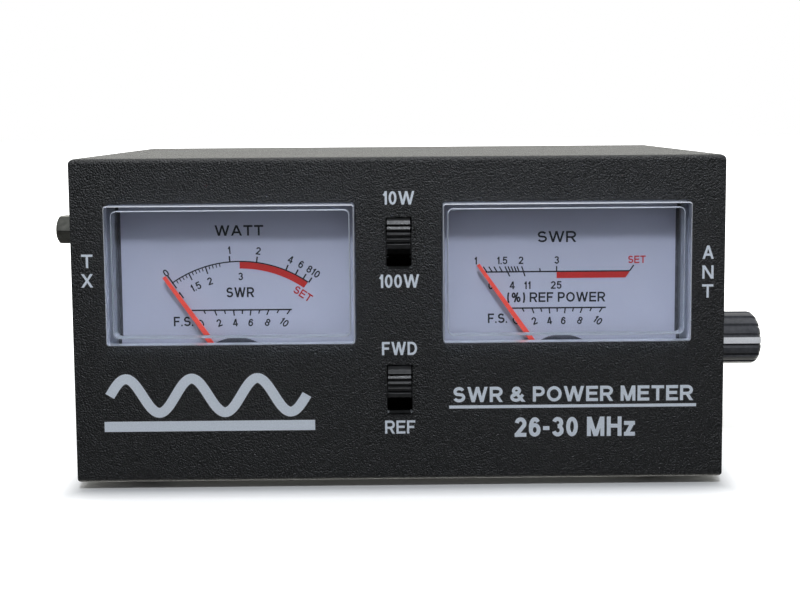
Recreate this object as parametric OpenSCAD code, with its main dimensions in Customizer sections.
// Twin-needle SWR and power meter in a folded sheet-steel case, in millimetres.
// The origin is the middle of the four feet, on the surface they stand on.
// +X is to the right of the front panel, -Y is the front, +Z is up.

/* [Case] */
// Width of the front panel and of the cover
case_w = 150; // [150:0.5:152]
// Depth from the front panel's face to the rear panel's face
case_d = 65; // [65:0.5:70]
// Height of the case without its feet
case_h = 75.5; // [75.5:0.5:78]
// Thickness of the sheet steel
sheet = 1; // [0.9:0.05:1]
// Outer radius of the folds at the top and bottom of the front panel
fold_r = 1.2; // [1.1:0.1:1.3]
// Radius of the front panel's four corners
corner_r = 1.2; // [1.2:0.1:1.8]
// Distance between the left and right feet
foot_dx = 120; // [110:1:125]
// Distance between the front and rear feet
foot_dy = 44; // [40:1:46]
// Radius of a foot
foot_r = 5; // [4:0.5:6]
// Height of a foot
foot_h = 2; // [1.5:0.1:2.5]

/* [Meters] */
// Distance from the panel's middle to the middle of each meter
meter_x = 38.25; // [38:0.25:38.5]
// Height of the middle of each meter
meter_z = 51; // [50.5:0.5:51.5]
// Width of the clear window that stands out of the panel
window_w = 56.4; // [56:0.1:56.6]
// Height of the clear window that stands out of the panel
window_h = 31.9; // [31:0.1:32]
// How far the window stands out of the panel
window_proud = 3; // [2:0.5:4]
// Distance from the panel's face back to the face of the dial
dial_depth = 8; // [7.9:0.1:8.1]
// Distance from the panel's middle to each needle's pivot
pivot_x = 37.8; // [37.5:0.1:38]
// Height of the needles' pivots, below the windows
pivot_z = 24.5; // [24.3:0.1:24.7]
// Length of the left needle from its pivot
left_needle_r = 30.4; // [28:0.1:32]
// Length of the right needle from its pivot
right_needle_r = 33.2; // [30:0.1:34]
// Angle of both needles from upright when at rest on zero
needle_rest = 35.2; // [34:0.1:36]

/* [Slide switches] */
// Width of the slot that a slider moves in
slot_w = 6; // [5.9:0.1:6.2]
// Height of the slot that a slider moves in
slot_h = 12; // [12:0.1:12.4]
// Width of a slider
slider_w = 5.3; // [5:0.1:5.4]
// Height of a slider
slider_h = 6.7; // [6:0.1:6.8]
// How far a slider stands out of the panel
slider_proud = 3; // [2:0.5:4]
// Travel of a slider from its upper to its lower place
slider_travel = 4.8; // [4:0.1:4.8]
// Height of the middle of the upper slot
upper_slot_z = 57.65; // [57.5:0.05:58]
// Height of the middle of the lower slot
lower_slot_z = 23.4; // [23:0.1:23.6]

/* [Calibration knob] */
// Radius of the knob over its ribs
knob_r = 6.55; // [6:0.05:7]
// Length of the knob
knob_len = 13.5; // [12.5:0.5:15]
// Gap between the cover's side and the knob
knob_gap = 1.3; // [1:0.1:2]
// Number of ribs round the knob
knob_ribs = 20; // [16:2:24]
// Distance of the knob's axis behind the front panel's face
knob_depth = 20; // [19.5:0.5:20.5]
// Height of the knob's axis
knob_z = 30; // [29:0.5:31]

/* [Coaxial sockets] */
// Distance from the middle to each socket's axis
socket_x = 44; // [42:0.5:45]
// Height of the sockets' axes
socket_z = 40; // [38:0.5:42]
// Side of the square flange
flange_w = 25.4; // [25:0.1:25.4]
// Distance between neighbouring flange screws
flange_pitch = 18.26; // [18.2:0.01:18.3]
// Radius over the threaded barrel
barrel_r = 7.94; // [7.9:0.01:7.95]
// Length of the threaded barrel
barrel_len = 11; // [10:0.5:12]
// Radius of the centre contact's bore
contact_bore_r = 2; // [1.95:0.01:2.05]

/* [Aerial terminal] */
// Distance across the flats of the hexagonal terminal
aerial_flats = 6.36; // [6:0.01:6.5]
// How far the terminal stands out of the cover's side
aerial_len = 5.9; // [5:0.1:7]
// Distance of its axis behind the front panel's face
aerial_depth = 10; // [9.5:0.5:10.5]
// Height of its axis
aerial_z = 60.3; // [59:0.1:61]

/* [Hidden] */
$fn = 48;

// Faces of the case
front_y = -case_d / 2;
rear_y = case_d / 2;
floor_z = foot_h;
top_z = foot_h + case_h;
side_x = case_w / 2;
cover_gap = 0.1;
inner_x = side_x - sheet - cover_gap;
cover_front_y = front_y + 1.5;
rear_top_z = top_z - sheet - 0.3;
panel_back_y = front_y + sheet;

// M3 screws
screw_r = 1.5;
tap_r = 1.55;
clear_r = 1.7;
head_r = 2.8;
head_t = 1.9;
nut_flats = 5.5;
nut_t = 2.4;
cover_screw_y = [front_y + 10, rear_y - 12];
cover_screw_z = 12;
tab_w = 10;
tab_top_z = 18;

// Meter, front to back
window_front_y = front_y - window_proud;
window_back_y = window_front_y + 2.5;
window_wall_x = 1.1;
window_wall_z = 1.25;
cutout_gap = 0.2;
skirt_w = 59.6;
skirt_low_z = pivot_z - 12;
skirt_high_z = meter_z + 17.6;
skirt_wall = 1.2;
skirt_inner_y = panel_back_y + 1.6;
skirt_back_y = front_y + 9;
dial_y = front_y + dial_depth;
dial_t = 0.5;
dial_half_w = 27.5;
dial_low_z = pivot_z + 6;
housing_back_y = skirt_back_y + 1.5;
cup_back_y = housing_back_y + 13;
cup_floor = 1.5;
cup_half_w = 14;
magnet_r = 10.5;
magnet_bore_r = 7.6;
core_r = 5;
staff_r = 0.4;
jewel_r = 0.47;
fit_gap = 0.02;
shield_r = 10.2;
shield_rise = 1.0;
needle_y = front_y + 6.3;
needle_t = 0.4;
terminal_dx = 14;
terminal_z = 57;

// Slide switches, front to back
switch_zs = [upper_slot_z, lower_slot_z];
bracket_y = front_y + 2.5;
frame_y = bracket_y + sheet;
frame_t = 0.6;
frame_wall = 0.5;
frame_half_w = 6.3;
frame_half_h = 11.5;
frame_depth = 8;
ear_half_h = 16;
ear_half_w = 3.5;
ear_screw_dz = 13.6;
base_t = 1.5;
base_back_y = frame_y + frame_depth;

// Calibration control
knob_y = front_y + knob_depth;
control_plate_x = side_x - 5;
control_body_r = 8.5;
control_body_len = 9;
shaft_r = 3;
bush_r = 3.5;
shaft_gap = 0.06;

// Circuit board, behind it the sockets
board_y = rear_y - 14.5;
board_t = 1.6;
board_half_w = 64;
board_low_z = 10;
board_high_z = 68;
standoff_x = 58;
standoff_zs = [15, 63];

aerial_y = front_y + aerial_depth;

// Points on an arc from angle a0 to angle a1
function arc(x, y, r, a0, a1, n = 8) =
    [for (i = [0:n]) let (a = a0 + (a1 - a0) * i / n) [x + r * cos(a), y + r * sin(a)]];

// Outline of a rectangle with round corners, its middle at cx, cy
function rounded(w, h, r, cx = 0, cy = 0) = concat(
    arc(cx + w / 2 - r, cy + h / 2 - r, r, 0, 90),
    arc(cx - w / 2 + r, cy + h / 2 - r, r, 90, 180),
    arc(cx - w / 2 + r, cy - h / 2 + r, r, 180, 270),
    arc(cx + w / 2 - r, cy - h / 2 + r, r, 270, 360));

// Point at share t of a cubic curve, and its direction there
function bezier(p, t) = pow(1 - t, 3) * p[0] + 3 * t * pow(1 - t, 2) * p[1]
    + 3 * t * t * (1 - t) * p[2] + pow(t, 3) * p[3];
function slope(p, t) = 3 * pow(1 - t, 2) * (p[1] - p[0]) + 6 * t * (1 - t) * (p[2] - p[1])
    + 3 * t * t * (p[3] - p[2]);
function unit(v) = v / norm(v);

// A box between two opposite corners
module span(low, high) translate(low) cube(high - low);

// Cylinders along X and Y between two ends
module rod_x(r, x0, x1, y, z)
    translate([x0, y, z]) rotate([0, 90, 0]) cylinder(r = r, h = x1 - x0);
module rod_y(r, y0, y1, x, z)
    translate([x, y0, z]) rotate([-90, 0, 0]) cylinder(r = r, h = y1 - y0);

// Hexagonal prisms along X and Y, by the distance across their flats
module hex_x(flats, x0, x1, y, z)
    translate([x0, y, z]) rotate([0, 90, 0]) rotate(30)
        cylinder(r = flats / sqrt(3), h = x1 - x0, $fn = 6);
module hex_y(flats, y0, y1, x, z)
    translate([x, y0, z]) rotate([-90, 0, 0]) cylinder(r = flats / sqrt(3), h = y1 - y0, $fn = 6);

// An outline in X and Z, carried along Y
module plate_y(points, y0, y1)
    translate([0, y1, 0]) rotate([90, 0, 0]) linear_extrude(y1 - y0) polygon(points);

// A pan-head screw along +Y: its head's inner face is at y
module screw_y(y, x, z, len) {
    rod_y(screw_r, y, y + len, x, z);
    difference() {
        rod_y(head_r, y - head_t, y, x, z);
        for (a = [0, 90]) translate([x, y - head_t, z]) rotate([0, a, 0]) cross_slot();
    }
}
module cross_slot() translate([-1.5, -1, -0.3]) cube([3, 2, 0.6]);

// Chassis: front panel, floor and rear panel in one folded sheet
chassis_side = concat(
    [[front_y + fold_r + 0.1, top_z]],
    arc(front_y + fold_r, top_z - fold_r, fold_r, 90, 180),
    arc(front_y + fold_r, floor_z + fold_r, fold_r, 180, 270),
    arc(rear_y - fold_r, floor_z + fold_r, fold_r, 270, 360),
    [[rear_y, rear_top_z], [rear_y - sheet, rear_top_z]],
    arc(rear_y - fold_r, floor_z + fold_r, fold_r - sheet, 360, 270, 4),
    arc(front_y + fold_r, floor_z + fold_r, fold_r - sheet, 270, 180, 4),
    arc(front_y + fold_r, top_z - fold_r, fold_r - sheet, 180, 90, 4),
    [[front_y + fold_r + 0.1, top_z - sheet]]);

module chassis() color("#26272a") difference() {
    union() {
        intersection() {
            translate([-side_x, 0, 0]) rotate([90, 0, 90]) linear_extrude(case_w)
                polygon(chassis_side);
            plate_y(rounded(case_w, case_h, corner_r, 0, floor_z + case_h / 2),
                front_y - 1, rear_y + 1);
        }
        for (s = [-1, 1], y = cover_screw_y)
            span([s > 0 ? inner_x - sheet : -inner_x, y - tab_w / 2, floor_z],
                [s > 0 ? inner_x : sheet - inner_x, y + tab_w / 2, tab_top_z]);
        span([control_plate_x, knob_y - 8, floor_z],
            [control_plate_x + sheet, knob_y + 8, knob_z + 10]);
    }
    for (s = [-1, 1]) {
        span([s > 0 ? inner_x : -side_x - 1, cover_front_y, 0],
            [s > 0 ? side_x + 1 : -inner_x, rear_y + 1, top_z + 1]);
        plate_y(rounded(window_w + 2 * cutout_gap, window_h + 2 * cutout_gap, 0.8,
            s * meter_x, meter_z), front_y - 1, panel_back_y + 1);
        rod_y(barrel_r + 0.06, rear_y - 2, rear_y + 1, s * socket_x, socket_z);
        for (dx = [-1, 1], dz = [-1, 1])
            rod_y(clear_r, rear_y - 2, rear_y + 1,
                s * socket_x + dx * flange_pitch / 2, socket_z + dz * flange_pitch / 2);
        for (z = standoff_zs) rod_y(clear_r, rear_y - 2, rear_y + 1, s * standoff_x, z);
    }
    for (z = switch_zs)
        span([-slot_w / 2, front_y - 1, z - slot_h / 2],
            [slot_w / 2, panel_back_y + 1, z + slot_h / 2]);
    for (y = cover_screw_y) rod_x(tap_r, -side_x, side_x, y, cover_screw_z);
    rod_x(bush_r + 0.1, control_plate_x - 1, control_plate_x + sheet + 1, knob_y, knob_z);
}

// Cover: top and both sides in one folded sheet
cover_end = concat(
    [[side_x, floor_z + 0.2]],
    arc(side_x - corner_r, top_z - corner_r, corner_r, 0, 90),
    arc(corner_r - side_x, top_z - corner_r, corner_r, 90, 180),
    [[-side_x, floor_z + 0.2], [sheet - side_x, floor_z + 0.2]],
    arc(corner_r - side_x, top_z - corner_r, corner_r - sheet, 180, 90, 4),
    arc(side_x - corner_r, top_z - corner_r, corner_r - sheet, 90, 0, 4),
    [[side_x - sheet, floor_z + 0.2]]);

module top_cover() color("#303134") difference() {
    plate_y(cover_end, cover_front_y, rear_y);
    for (y = cover_screw_y) rod_x(clear_r, -side_x - 1, side_x + 1, y, cover_screw_z);
    rod_x(bush_r + 0.7, side_x - 2, side_x + 1, knob_y, knob_z);
    rod_x(2.9, -side_x - 1, 2 - side_x, aerial_y, aerial_z);
}

module cover_screws() color("#4a4b4d")
    for (a = [0, 180], y = cover_screw_y)
        translate([0, y, cover_screw_z]) rotate([0, 0, a]) rotate([0, 0, 90])
            screw_y(-side_x, 0, 0, 5);

module rubber_feet() color("#161616")
    for (x = [-1, 1], y = [-1, 1])
        translate([x * foot_dx / 2, y * foot_dy / 2, 0]) cylinder(r = foot_r, h = foot_h);

// Meters. s is -1 for the left meter and 1 for the right one.
module meter_case(s) color("#cfe3ea", 0.4) difference() {
    union() {
        plate_y(rounded(window_w, window_h, 0.6, s * meter_x, meter_z),
            window_front_y, panel_back_y + 0.5);
        span([s * meter_x - skirt_w / 2, panel_back_y, skirt_low_z],
            [s * meter_x + skirt_w / 2, skirt_back_y, skirt_high_z]);
    }
    plate_y(rounded(window_w - 2 * window_wall_x, window_h - 2 * window_wall_z, 2,
        s * meter_x, meter_z), window_back_y, skirt_inner_y + 0.5);
    span([s * meter_x - skirt_w / 2 + skirt_wall, skirt_inner_y, skirt_low_z + skirt_wall],
        [s * meter_x + skirt_w / 2 - skirt_wall, skirt_back_y + 1, skirt_high_z - skirt_wall]);
}

module meter_housing(s) color("#1b1b1d") difference() {
    union() {
        span([s * meter_x - skirt_w / 2, skirt_back_y, skirt_low_z],
            [s * meter_x + skirt_w / 2, housing_back_y, skirt_high_z]);
        for (dx = [-1, 1], z = [34, 64])
            span([s * meter_x + dx * 25 - 1.5, dial_y + dial_t, z - 1.5],
                [s * meter_x + dx * 25 + 1.5, skirt_back_y + 0.5, z + 1.5]);
        span([s * pivot_x - cup_half_w, skirt_back_y + 0.5, skirt_low_z],
            [s * pivot_x + cup_half_w, cup_back_y, pivot_z + cup_half_w]);
    }
    rod_y(magnet_r + 0.1, skirt_back_y - 1, cup_back_y - cup_floor, s * pivot_x, pivot_z);
    rod_y(tap_r, cup_back_y - cup_floor - 1, cup_back_y + 1, s * pivot_x, pivot_z);
    for (dx = [-1, 1])
        rod_y(tap_r, skirt_back_y - 1, housing_back_y + 1, s * meter_x + dx * terminal_dx, terminal_z);
}

module dial_plate(s) color("#e8eaf0")
    span([s * meter_x - dial_half_w, dial_y, dial_low_z],
        [s * meter_x + dial_half_w, dial_y + dial_t, skirt_high_z - 1.4]);

module magnet_ring(s) color("#5d6064") difference() {
    rod_y(magnet_r, housing_back_y, cup_back_y - 3.5, s * pivot_x, pivot_z);
    rod_y(magnet_bore_r, housing_back_y - 1, cup_back_y, s * pivot_x, pivot_z);
}

module iron_core(s) color("#8b8f94") {
    rod_y(core_r, housing_back_y + 0.5, cup_back_y - 4.5, s * pivot_x, pivot_z);
    span([s * pivot_x - 1.5, housing_back_y + 2, pivot_z - 7.4],
        [s * pivot_x + 1.5, cup_back_y - 6, pivot_z - core_r + 0.5]);
}

// Front bridge over the moving coil, and the jewelled screw behind it
module pivot_bearings(s) color("#b59a4c") {
    difference() {
        union() {
            span([s * pivot_x - 10.3, needle_y - 2.4, pivot_z - 2],
                [s * pivot_x + 10.3, needle_y - 1.2, pivot_z + 2]);
            for (dx = [-1, 1])
                span([s * pivot_x + dx * 9.3 - 1, needle_y - 1.8, pivot_z - 2],
                    [s * pivot_x + dx * 9.3 + 1, housing_back_y, pivot_z + 2]);
        }
        rod_y(jewel_r, needle_y - 3, needle_y, s * pivot_x, pivot_z);
    }
    difference() {
        rod_y(screw_r, cup_back_y - 2.1, cup_back_y + 0.8, s * pivot_x, pivot_z);
        rod_y(jewel_r, cup_back_y - 3, cup_back_y - 1.3, s * pivot_x, pivot_z);
    }
}

module movement_shield(s) color("#1b1b1d")
    rod_y(shield_r, needle_y - 3.1, needle_y - 2.4, s * pivot_x, pivot_z + shield_rise);

// What turns is drawn upright on the pivot and leant to its place at zero
module on_pivot(s) translate([s * pivot_x, 0, pivot_z]) rotate([0, -needle_rest, 0]) children();

module moving_coil(s) color("#a5622c") on_pivot(s) {
    difference() {
        span([-6.9, housing_back_y - 1.2, -1.5], [6.9, cup_back_y - 2.8, 1.5]);
        span([-5.7, housing_back_y - 0.4, -2], [5.7, cup_back_y - 3.6, 2]);
    }
    rod_y(staff_r, needle_y - 2.2, housing_back_y - 1, 0, 0);
    rod_y(staff_r, cup_back_y - 3, cup_back_y - 1.6, 0, 0);
}

// Flat spiral spring with the collet at its middle
spring_turns = 3.5;
spring_steps = 56;
spring_growth = 3;
function spring_edge(steps, r0) = [for (i = steps)
    let (a = 360 * spring_turns * i / spring_steps, r = r0 + spring_growth * i / spring_steps)
        [r * cos(a), r * sin(a)]];
spring_points = concat(
    spring_edge([0:spring_steps], 1.1),
    spring_edge([spring_steps:-1:0], 1.3));
module hairspring(s) color("#c9a85a") on_pivot(s) {
    difference() {
        union() {
            rod_y(1.2, needle_y + 0.9, needle_y + 1.7, 0, 0);
            plate_y(spring_points, needle_y + 1.1, needle_y + 1.5);
        }
        rod_y(staff_r + fit_gap, needle_y, needle_y + 3, 0, 0);
    }
}

module needle(s, len) color("#e0453a") on_pivot(s) difference() {
    union() {
        plate_y([[-0.7, 0], [-0.4, len], [0.4, len], [0.7, 0], [0.6, -7], [-0.6, -7]],
            needle_y - needle_t / 2, needle_y + needle_t / 2);
        rod_y(1.2, needle_y - 0.6, needle_y + 0.6, 0, -6);
        rod_y(1.8, needle_y - 0.8, needle_y + 0.6, 0, 0);
    }
    rod_y(staff_r + fit_gap, needle_y - 2, needle_y + 2, 0, 0);
}

module meter_terminals() color("#c2a04a")
    for (s = [-1, 1], dx = [-1, 1]) translate([s * meter_x + dx * terminal_dx, 0, terminal_z]) {
        rod_y(2.4, dial_y + dial_t, skirt_back_y, 0, 0);
        rod_y(screw_r, skirt_back_y, housing_back_y + 8, 0, 0);
        difference() {
            hex_y(nut_flats, housing_back_y, housing_back_y + nut_t, 0, 0);
            rod_y(screw_r + fit_gap, housing_back_y - 1, housing_back_y + nut_t + 1, 0, 0);
        }
    }

// Bracket behind the front panel, which carries both switches
module switch_bracket() color("#8d9296") difference() {
    union() {
        span([-7.9, bracket_y, 4.5], [7.9, frame_y, top_z - 2]);
        for (z = [4.5, top_z - 2 - sheet])
            span([-7.9, panel_back_y, z], [7.9, frame_y, z + sheet]);
    }
    for (z = switch_zs) {
        span([-slot_w / 2 - 0.3, bracket_y - 1, z - slot_h / 2 - 0.3],
            [slot_w / 2 + 0.3, frame_y + 1, z + slot_h / 2 + 0.3]);
        for (dz = [-1, 1]) rod_y(1.05, bracket_y - 1, frame_y + 1, 0, z + dz * ear_screw_dz);
    }
}

// M2 screws that hold the ears of the switches
module switch_screws() color("#b9bcc0")
    for (z = switch_zs, dz = [-1, 1]) {
        rod_y(1, bracket_y + 0.1, frame_y + frame_t, 0, z + dz * ear_screw_dz);
        rod_y(1.7, frame_y + frame_t, frame_y + frame_t + 1.2, 0, z + dz * ear_screw_dz);
    }

module switch_frame(z) color("#b4b8bb") difference() {
    union() {
        span([-frame_half_w, frame_y, z - frame_half_h], [frame_half_w, base_back_y, z + frame_half_h]);
        span([-ear_half_w, frame_y, z - ear_half_h], [ear_half_w, frame_y + frame_t, z + ear_half_h]);
    }
    span([frame_wall - frame_half_w, frame_y + frame_t, z - frame_half_h + frame_wall],
        [frame_half_w - frame_wall, base_back_y + 1, z + frame_half_h - frame_wall]);
    span([-slot_w / 2 + 0.1, frame_y - 1, z - slot_h / 2 + 0.1],
        [slot_w / 2 - 0.1, frame_y + 1, z + slot_h / 2 - 0.1]);
    for (dz = [-1, 1]) rod_y(1.05, frame_y - 1, frame_y + 2, 0, z + dz * ear_screw_dz);
}

contact_dx = 3;
contact_dz = slider_travel;
module switch_base(z) color("#6b3f22") difference() {
    span([-5.7, base_back_y - base_t, z - 10.9], [5.7, base_back_y, z + 10.9]);
    for (dx = [-1, 1], dz = [-1, 0, 1])
        span([dx * contact_dx - 0.6, base_back_y - base_t - 1, z + dz * contact_dz - 0.35],
            [dx * contact_dx + 0.6, base_back_y + 1, z + dz * contact_dz + 0.35]);
}

// Slider at its upper place: ribbed head, neck and the foot inside the frame
rib_count = 5;
slider_gap = 0.3;
function slider_z(z) = z + slot_h / 2 - slider_gap - slider_h / 2;
module switch_slider(z) color("#1d1e20") {
    head_z = slider_z(z);
    head_y = front_y - slider_proud;
    foot_y = frame_y + frame_t + 0.2;
    difference() {
        span([-slider_w / 2, head_y, head_z - slider_h / 2],
            [slider_w / 2, foot_y + 1, head_z + slider_h / 2]);
        for (i = [1:rib_count - 1])
            let (groove_z = head_z - slider_h / 2 + i * slider_h / rib_count)
                span([-slider_w / 2 - 1, head_y - 1, groove_z - 0.25],
                    [slider_w / 2 + 1, head_y + 0.8, groove_z + 0.25]);
    }
    span([-5.3, foot_y, head_z - 5.5], [5.3, foot_y + 2.6, head_z + 5.5]);
}

// Bridging contacts carried under each slider
module switch_wipers(z) color("#c98a4b")
    for (dx = [-1, 1])
        span([dx * contact_dx - 0.9, frame_y + frame_t + 2.8, slider_z(z) - 3.4],
            [dx * contact_dx + 0.9, base_back_y - base_t - 0.6, slider_z(z) + 3.4]);

module switch_contacts() color("#c9ccd0")
    for (z = switch_zs, dx = [-1, 1], dz = [-1, 0, 1])
        span([dx * contact_dx - 0.5, base_back_y - base_t - 0.4, z + dz * contact_dz - 0.25],
            [dx * contact_dx + 0.5, base_back_y + 4, z + dz * contact_dz + 0.25]);

// Circuit board with the directional coupler between the two sockets
module circuit_board() color("#2f6b3c") difference() {
    span([-board_half_w, board_y, board_low_z], [board_half_w, board_y + board_t, board_high_z]);
    for (s = [-1, 1]) {
        rod_y(1.6, board_y - 1, board_y + 3, s * socket_x, socket_z);
        for (z = standoff_zs) rod_y(clear_r, board_y - 1, board_y + 3, s * standoff_x, z);
    }
}

module board_standoffs() color("#c2a04a")
    for (s = [-1, 1], z = standoff_zs) difference() {
        hex_y(nut_flats, board_y + board_t, rear_y - sheet, s * standoff_x, z);
        rod_y(tap_r, board_y, rear_y, s * standoff_x, z);
    }

module board_screws() color("#9a9da1")
    for (s = [-1, 1], z = standoff_zs) {
        screw_y(board_y, s * standoff_x, z, 6);
        translate([s * standoff_x, rear_y, z]) rotate([0, 0, 180]) screw_y(0, 0, 0, 6);
    }

strip_y = board_y + board_t;
module coupler_strip() color("#c98a4b") difference() {
    span([-socket_x - 3, strip_y, socket_z - 2.5], [socket_x + 3, strip_y + 0.6, socket_z + 2.5]);
    for (s = [-1, 1]) rod_y(1.6, strip_y - 1, strip_y + 2, s * socket_x, socket_z);
}

module pickup_strips() color("#c98a4b")
    for (dz = [-6, 6]) span([-36, strip_y, socket_z + dz - 1], [36, strip_y + 0.4, socket_z + dz + 1]);

// A part with wire ends that stands on the front of the board, lying along X
module axial_part(x, z, r, len, rise) {
    y = board_y - rise;
    rod_x(r, x - len / 2, x + len / 2, y, z);
    for (s = [-1, 1]) {
        span([x + s * (len / 2 + 0.75) - 1, y - 0.25, z - 0.25],
            [x + s * (len / 2 + 0.75) + 1, y + 0.25, z + 0.25]);
        span([x + s * (len / 2 + 1.5) - 0.25, y - 0.25, z - 0.25],
            [x + s * (len / 2 + 1.5) + 0.25, board_y, z + 0.25]);
    }
}

module detector_diodes() color("#c8703a")
    for (s = [-1, 1]) axial_part(s * 30, 52, 0.9, 4, 2);

module resistors() color("#c9b48c")
    for (x = [-52, -20, 0, 20, 52]) axial_part(x, 26, 1.2, 6.3, 2.2);

module disc_capacitors() color("#b9783a")
    for (x = [-44, -10, 10, 44]) {
        rod_y(3, board_y - 7.5, board_y - 5, x, 56);
        for (dx = [-1, 1]) span([x + dx * 2 - 0.25, board_y - 5, 55.75], [x + dx * 2 + 0.25, board_y, 56.25]);
    }

// Rear sockets of the 5/8-24 UHF pattern
module socket_body(s) color("#d3d6d8") difference() {
    union() {
        span([s * socket_x - flange_w / 2, rear_y, socket_z - flange_w / 2],
            [s * socket_x + flange_w / 2, rear_y + 2.8, socket_z + flange_w / 2]);
        rod_y(barrel_r, rear_y + 2, rear_y + 2.8 + barrel_len, s * socket_x, socket_z);
        rod_y(7.6, rear_y - 4, rear_y + 1, s * socket_x, socket_z);
    }
    rod_y(6.2, rear_y - 5, rear_y + 15, s * socket_x, socket_z);
    for (dx = [-1, 1], dz = [-1, 1])
        rod_y(clear_r, rear_y - 1, rear_y + 4,
            s * socket_x + dx * flange_pitch / 2, socket_z + dz * flange_pitch / 2);
}

module socket_insulators() color("#e8e2cf")
    for (s = [-1, 1]) difference() {
        rod_y(6.18, rear_y - 4, rear_y + 8, s * socket_x, socket_z);
        rod_y(2.52, rear_y - 5, rear_y + 9, s * socket_x, socket_z);
    }

module socket_contacts() color("#c9b458")
    for (s = [-1, 1]) difference() {
        union() {
            rod_y(2.5, rear_y - 5, rear_y + 10, s * socket_x, socket_z);
            rod_y(1.5, board_y - 1, rear_y - 4, s * socket_x, socket_z);
        }
        rod_y(contact_bore_r, rear_y, rear_y + 11, s * socket_x, socket_z);
    }

module at_flange_screws()
    for (s = [-1, 1], dx = [-1, 1], dz = [-1, 1])
        translate([s * socket_x + dx * flange_pitch / 2, 0, socket_z + dz * flange_pitch / 2]) children();

module socket_screws() color("#9a9da1") at_flange_screws()
    translate([0, rear_y + 2.8, 0]) rotate([0, 0, 180]) screw_y(0, 0, 0, 8);

module socket_nuts() color("#9a9da1") at_flange_screws() difference() {
    hex_y(nut_flats, rear_y - sheet - nut_t, rear_y - sheet, 0, 0);
    rod_y(screw_r + fit_gap, rear_y - 5, rear_y, 0, 0);
}

// Calibration control on the chassis tab, its shaft out through the cover's side
blade_half_w = 0.8;
blade_depth = 0.2;
module control_blades()
    for (dy = [-5, 0, 5])
        let (wall_z = knob_z - sqrt(pow(control_body_r, 2) - pow(abs(dy) + blade_half_w, 2)))
            span([control_plate_x - 5, knob_y + dy - blade_half_w, knob_z - 17],
                [control_plate_x - 4.5, knob_y + dy + blade_half_w, wall_z + blade_depth]);

module control_body() color("#7c8084") difference() {
    union() {
        rod_x(control_body_r, control_plate_x - control_body_len, control_plate_x, knob_y, knob_z);
        rod_x(bush_r, control_plate_x - 1, control_plate_x + 4, knob_y, knob_z);
    }
    rod_x(7.5, control_plate_x - control_body_len + 1, control_plate_x - 1.5, knob_y, knob_z);
    rod_x(shaft_r + shaft_gap, control_plate_x - 2, control_plate_x + 5, knob_y, knob_z);
    control_blades();
}

knob_x = side_x + knob_gap;
knob_bore_len = knob_len - 3;
module control_shaft() color("#c9ccd0") {
    rod_x(shaft_r, control_plate_x - control_body_len + 1.5, knob_x + knob_bore_len, knob_y, knob_z);
    rod_x(6.5, control_plate_x - 5.5, control_plate_x - 3.5, knob_y, knob_z);
}

module control_nut() color("#b9bcc0") difference() {
    union() {
        rod_x(5.6, control_plate_x + sheet, control_plate_x + sheet + 0.5, knob_y, knob_z);
        hex_x(10, control_plate_x + sheet + 0.5, control_plate_x + sheet + 2.4, knob_y, knob_z);
    }
    rod_x(bush_r + fit_gap, control_plate_x, control_plate_x + 5, knob_y, knob_z);
}

module control_terminals() color("#c9b458") control_blades();

// Ribbed knob with a rounded end, drawn along +Z and laid along +X
rim_r = 1.2;
groove_r = 0.6;
knob_outline = concat(
    [[0, 0], [knob_r, 0]],
    arc(knob_r - rim_r, knob_len - rim_r, rim_r, 0, 90),
    [[0, knob_len]]);
module cal_knob() color("#2a2b30")
    translate([knob_x, knob_y, knob_z]) rotate([0, 90, 0]) difference() {
        rotate_extrude($fn = 80) polygon(knob_outline);
        translate([0, 0, -1]) cylinder(r = shaft_r + fit_gap, h = knob_bore_len + 1.2);
        for (i = [0:knob_ribs - 1])
            rotate(360 / knob_ribs * (i + 0.5)) translate([knob_r + 0.2, 0, -1])
                cylinder(r = groove_r, h = knob_len + 2, $fn = 16);
    }

// Aerial terminal for the field-strength range, insulated from the cover
bush_t = 0.8;
module aerial_terminal() color("#55585c") difference() {
    union() {
        hex_x(aerial_flats, -side_x - aerial_len, -side_x - bush_t, aerial_y, aerial_z);
        rod_x(2, -side_x - 1.2, 6 - side_x, aerial_y, aerial_z);
    }
    rod_x(1.25, -side_x - aerial_len - 1, 0.1 - side_x - bush_t, aerial_y, aerial_z);
}

module aerial_insulators() color("#3a2a22") {
    difference() {
        union() {
            rod_x(3.1, -side_x - bush_t, -side_x, aerial_y, aerial_z);
            rod_x(2.8, -side_x - 0.1, sheet - side_x, aerial_y, aerial_z);
        }
        rod_x(2.05, -side_x - 2, 2 - side_x, aerial_y, aerial_z);
    }
    difference() {
        rod_x(4, sheet - side_x, sheet + bush_t - side_x, aerial_y, aerial_z);
        rod_x(2.05, -side_x, 3 - side_x, aerial_y, aerial_z);
    }
}

nut_x = sheet + bush_t - side_x;
module aerial_nut() color("#b9bcc0") {
    difference() {
        hex_x(7, nut_x + 0.4, nut_x + 2.8, aerial_y, aerial_z);
        rod_x(2 + fit_gap, nut_x - 1, nut_x + 4, aerial_y, aerial_z);
    }
    difference() {
        span([nut_x, aerial_y - 3.4, aerial_z - 8], [nut_x + 0.4, aerial_y + 3.4, aerial_z + 3.4]);
        rod_x(2 + fit_gap, nut_x - 1, nut_x + 4, aerial_y, aerial_z);
    }
}

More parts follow.
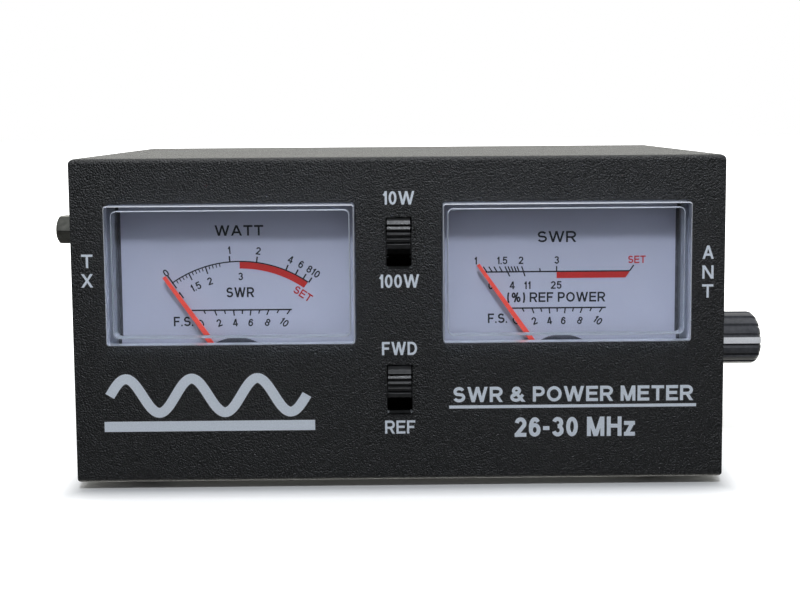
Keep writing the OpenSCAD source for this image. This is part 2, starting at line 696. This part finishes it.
// Insulated hookup wires: start, two guiding points and end of each
wire_r = 0.6;
wire_rings = 12;
wires = [
    [[-52.25, -14, 57], [-52.25, 0, 57], [-50, 8, 46], [-50, 18, 46]],
    [[-24.25, -14, 57], [-24.25, 0, 57], [-22, 8, 46], [-22, 18, 46]],
    [[24.25, -14, 57], [24.25, 0, 57], [22, 8, 46], [22, 18, 46]],
    [[52.25, -14, 57], [52.25, 0, 57], [50, 8, 46], [50, 18, 46]],
    [[-3, -17, 62.45], [-3, -4, 62.45], [-5, 6, 64], [-5, 18, 64]],
    [[3, -17, 62.45], [3, -4, 62.45], [5, 6, 64], [5, 18, 64]],
    [[-3, -17, 28.2], [-3, -4, 28.2], [-8, 6, 34], [-8, 18, 34]],
    [[3, -17, 28.2], [3, -4, 28.2], [8, 6, 34], [8, 18, 34]],
    [[65.25, -17.5, 13], [65.25, -17.5, 5], [40, 8, 14], [40, 18, 14]],
    [[65.25, -12.5, 13], [65.25, -12.5, 5], [46, 8, 16], [46, 18, 16]],
    [[65.25, -7.5, 13], [65.25, -7.5, 5], [52, 8, 18], [52, 18, 18]],
    [[-73, -22.5, 52.3], [-73, -22.5, 42], [-62, 6, 44], [-62, 18, 44]]
];
wire_sides = 8;
function ring(middle, d, u) = [for (k = [0:wire_sides - 1]) let (a = 360 * k / wire_sides)
    middle + wire_r * (cos(a) * u + sin(a) * cross(d, u))];
module wire(p) {
    points = [for (i = [0:wire_rings - 1])
        let (t = i / (wire_rings - 1), d = unit(slope(p, t)))
            each ring(bezier(p, t), d, unit(cross(d, [0.3, 0.2, 1])))];
    sides = [for (i = [0:wire_rings - 2], k = [0:wire_sides - 1])
        let (a = i * wire_sides, b = a + wire_sides, n = (k + 1) % wire_sides)
            [a + k, a + n, b + n, b + k]];
    ends = [[for (k = [wire_sides - 1:-1:0]) k],
        [for (k = [0:wire_sides - 1]) (wire_rings - 1) * wire_sides + k]];
    polyhedron(points, concat(sides, ends));
}
module hookup_wires() color("#b8322c") for (p = wires) wire(p);

chassis();
top_cover();
cover_screws();
rubber_feet();
meter_case(-1);  // left_meter_case
meter_housing(-1);  // left_meter_housing
dial_plate(-1);  // left_dial_plate
magnet_ring(-1);  // left_magnet_ring
iron_core(-1);  // left_iron_core
pivot_bearings(-1);  // left_pivot_bearings
movement_shield(-1);  // left_movement_shield
moving_coil(-1);  // left_moving_coil
hairspring(-1);  // left_hairspring
needle(-1, left_needle_r);  // left_needle
meter_case(1);  // right_meter_case
meter_housing(1);  // right_meter_housing
dial_plate(1);  // right_dial_plate
magnet_ring(1);  // right_magnet_ring
iron_core(1);  // right_iron_core
pivot_bearings(1);  // right_pivot_bearings
movement_shield(1);  // right_movement_shield
moving_coil(1);  // right_moving_coil
hairspring(1);  // right_hairspring
needle(1, right_needle_r);  // right_needle
meter_terminals();
switch_bracket();
switch_screws();
switch_frame(upper_slot_z);  // upper_switch_frame
switch_base(upper_slot_z);  // upper_switch_base
switch_slider(upper_slot_z);  // upper_switch_slider
switch_wipers(upper_slot_z);  // upper_switch_wipers
switch_frame(lower_slot_z);  // lower_switch_frame
switch_base(lower_slot_z);  // lower_switch_base
switch_slider(lower_slot_z);  // lower_switch_slider
switch_wipers(lower_slot_z);  // lower_switch_wipers
switch_contacts();
circuit_board();
board_standoffs();
board_screws();
coupler_strip();
pickup_strips();
detector_diodes();
resistors();
disc_capacitors();
socket_body(-1);  // tx_socket_body
socket_body(1);  // ant_socket_body
socket_insulators();
socket_contacts();
socket_screws();
socket_nuts();
control_body();
control_shaft();
control_nut();
control_terminals();
cal_knob();
aerial_terminal();
aerial_insulators();
aerial_nut();
hookup_wires();
